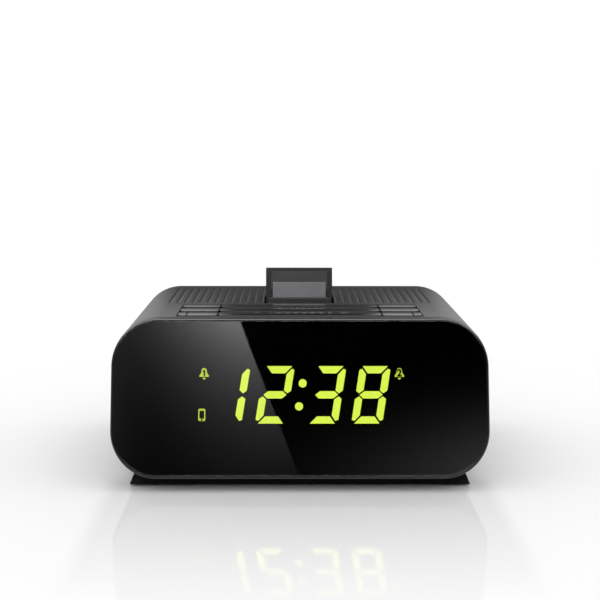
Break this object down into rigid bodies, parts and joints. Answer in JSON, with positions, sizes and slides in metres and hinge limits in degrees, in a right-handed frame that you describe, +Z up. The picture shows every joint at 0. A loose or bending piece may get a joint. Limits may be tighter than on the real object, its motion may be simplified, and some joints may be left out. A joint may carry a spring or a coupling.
{
  "type": "clock radio",
  "caption": "Table clock radio with a leaning gloss display panel, a rounded black cabinet, a block of top keys, a ribbed top and a rocking dock plug.",
  "frame": {"origin": "on the table, under the middle of the cabinet's box", "axes": "X to the right seen from the front, Y to the back, Z up; the display panel faces -Y"},
  "size_m": [0.13, 0.103, 0.0688],
  "materials": {
    "smoked_lens": "polished smoked acrylic",
    "black_ink": "matt black print",
    "gloss_trim": "gloss black moulding",
    "display_black": "matt black",
    "lit_resin": "lit yellow-green resin",
    "circuit_board": "green solder resist",
    "zinc_steel": "zinc plated",
    "satin_black": "satin black, finely sparked",
    "black_steel": "blackened",
    "base_black": "matt black",
    "soft_rubber": "matt black rubber",
    "frame_black": "plain black moulding",
    "component_black": "black component plastic",
    "pod_black": "satin black",
    "plug_steel": "bright nickel plated",
    "spring_steel": "spring wire",
    "bare_aluminium": "extruded, bare",
    "capacitor_sleeve": "dark blue sleeve",
    "speaker_steel": "black pressed steel",
    "paper_cone": "black paper pulp",
    "ferrite": "grey ferrite",
    "wire_red": "red insulation",
    "ribbon_film": "pale flexible film",
    "key_black": "satin gloss black"
  },
  "bodies": {
    "chassis": {"front_lens": "smoked_lens", "display_mask": "black_ink", "front_bezel": "gloss_trim", "led_block": "display_black", "digit_segments": "lit_resin", "icon_cells": "lit_resin", "display_board": "circuit_board", "display_screws": "zinc_steel", "cabinet": "satin_black", "rear_cover": "satin_black", "rear_screws": "black_steel", "bottom_cover": "base_black", "bottom_screws": "black_steel", "rubber_feet": "soft_rubber", "key_frame": "frame_black", "key_frame_screws": "zinc_steel", "key_board": "circuit_board", "tact_switches": "component_black", "key_board_screws": "zinc_steel", "dock_well": "frame_black", "dock_screws": "zinc_steel", "dock_pin": "zinc_steel", "dock_spring": "spring_steel", "back_rest": "pod_black", "rest_pad": "soft_rubber", "main_board": "circuit_board", "main_board_screws": "zinc_steel", "tuner_can": "plug_steel", "clock_chip": "component_black", "amplifier_chip": "component_black", "heat_sink": "bare_aluminium", "capacitors": "capacitor_sleeve", "audio_socket": "component_black", "power_inlet": "component_black", "aerial_gland": "soft_rubber", "speaker_frame": "speaker_steel", "speaker_cone": "paper_cone", "speaker_magnet": "ferrite", "speaker_gasket": "soft_rubber", "speaker_screws": "zinc_steel", "speaker_wires": "wire_red", "display_ribbon": "ribbon_film", "key_ribbon": "ribbon_film", "dock_ribbon": "ribbon_film", "backup_cell": "plug_steel", "cell_holder": "frame_black"},
    "dock": {"dock_pod": "pod_black", "dock_plug": "plug_steel", "plug_contacts": "component_black"},
    "door": {"battery_door": "base_black"},
    "front_left_key": {"key_front_left": "key_black"},
    "front_middle_key": {"key_front_middle": "key_black"},
    "front_right_key": {"key_front_right": "key_black"},
    "centre_left_key": {"key_centre_left": "key_black"},
    "centre_middle_key": {"key_centre_middle": "key_black"},
    "centre_right_key": {"key_centre_right": "key_black"},
    "back_left_key": {"key_back_left": "key_black"},
    "back_middle_key": {"key_back_middle": "key_black"},
    "back_right_key": {"key_back_right": "key_black"}
  },
  "joints": [
    {"name": "press_front_left", "type": "slide", "parent": "chassis", "child": "front_left_key", "axis": [0, 0, -1], "range_m": [0, 0.0006], "stiffness_N_per_m": 300, "springref_m": -0.001},
    {"name": "press_front_middle", "type": "slide", "parent": "chassis", "child": "front_middle_key", "axis": [0, 0, -1], "range_m": [0, 0.0006], "stiffness_N_per_m": 300, "springref_m": -0.001},
    {"name": "press_front_right", "type": "slide", "parent": "chassis", "child": "front_right_key", "axis": [0, 0, -1], "range_m": [0, 0.0006], "stiffness_N_per_m": 300, "springref_m": -0.001},
    {"name": "press_centre_left", "type": "slide", "parent": "chassis", "child": "centre_left_key", "axis": [0, 0, -1], "range_m": [0, 0.0006], "stiffness_N_per_m": 300, "springref_m": -0.001},
    {"name": "press_centre_middle", "type": "slide", "parent": "chassis", "child": "centre_middle_key", "axis": [0, 0, -1], "range_m": [0, 0.0006], "stiffness_N_per_m": 300, "springref_m": -0.001},
    {"name": "press_centre_right", "type": "slide", "parent": "chassis", "child": "centre_right_key", "axis": [0, 0, -1], "range_m": [0, 0.0006], "stiffness_N_per_m": 300, "springref_m": -0.001},
    {"name": "press_back_left", "type": "slide", "parent": "chassis", "child": "back_left_key", "axis": [0, 0, -1], "range_m": [0, 0.0006], "stiffness_N_per_m": 300, "springref_m": -0.001},
    {"name": "press_back_middle", "type": "slide", "parent": "chassis", "child": "back_middle_key", "axis": [0, 0, -1], "range_m": [0, 0.0006], "stiffness_N_per_m": 300, "springref_m": -0.001},
    {"name": "press_back_right", "type": "slide", "parent": "chassis", "child": "back_right_key", "axis": [0, 0, -1], "range_m": [0, 0.0006], "stiffness_N_per_m": 300, "springref_m": -0.001},
    {"name": "dock_rock", "type": "hinge", "parent": "chassis", "child": "dock", "pos_m": [0, 0.00751, 0.04961], "axis": [1, 0, 0], "range_deg": [-3, 6], "stiffness_Nm_per_rad": 0.05, "deforming": ["dock_spring"]},
    {"name": "door_turn", "type": "hinge", "parent": "chassis", "child": "door", "pos_m": [-0.016, -0.006, 0.0026], "axis": [0, 0, 1], "range_deg": [0, 45]}
  ]
}
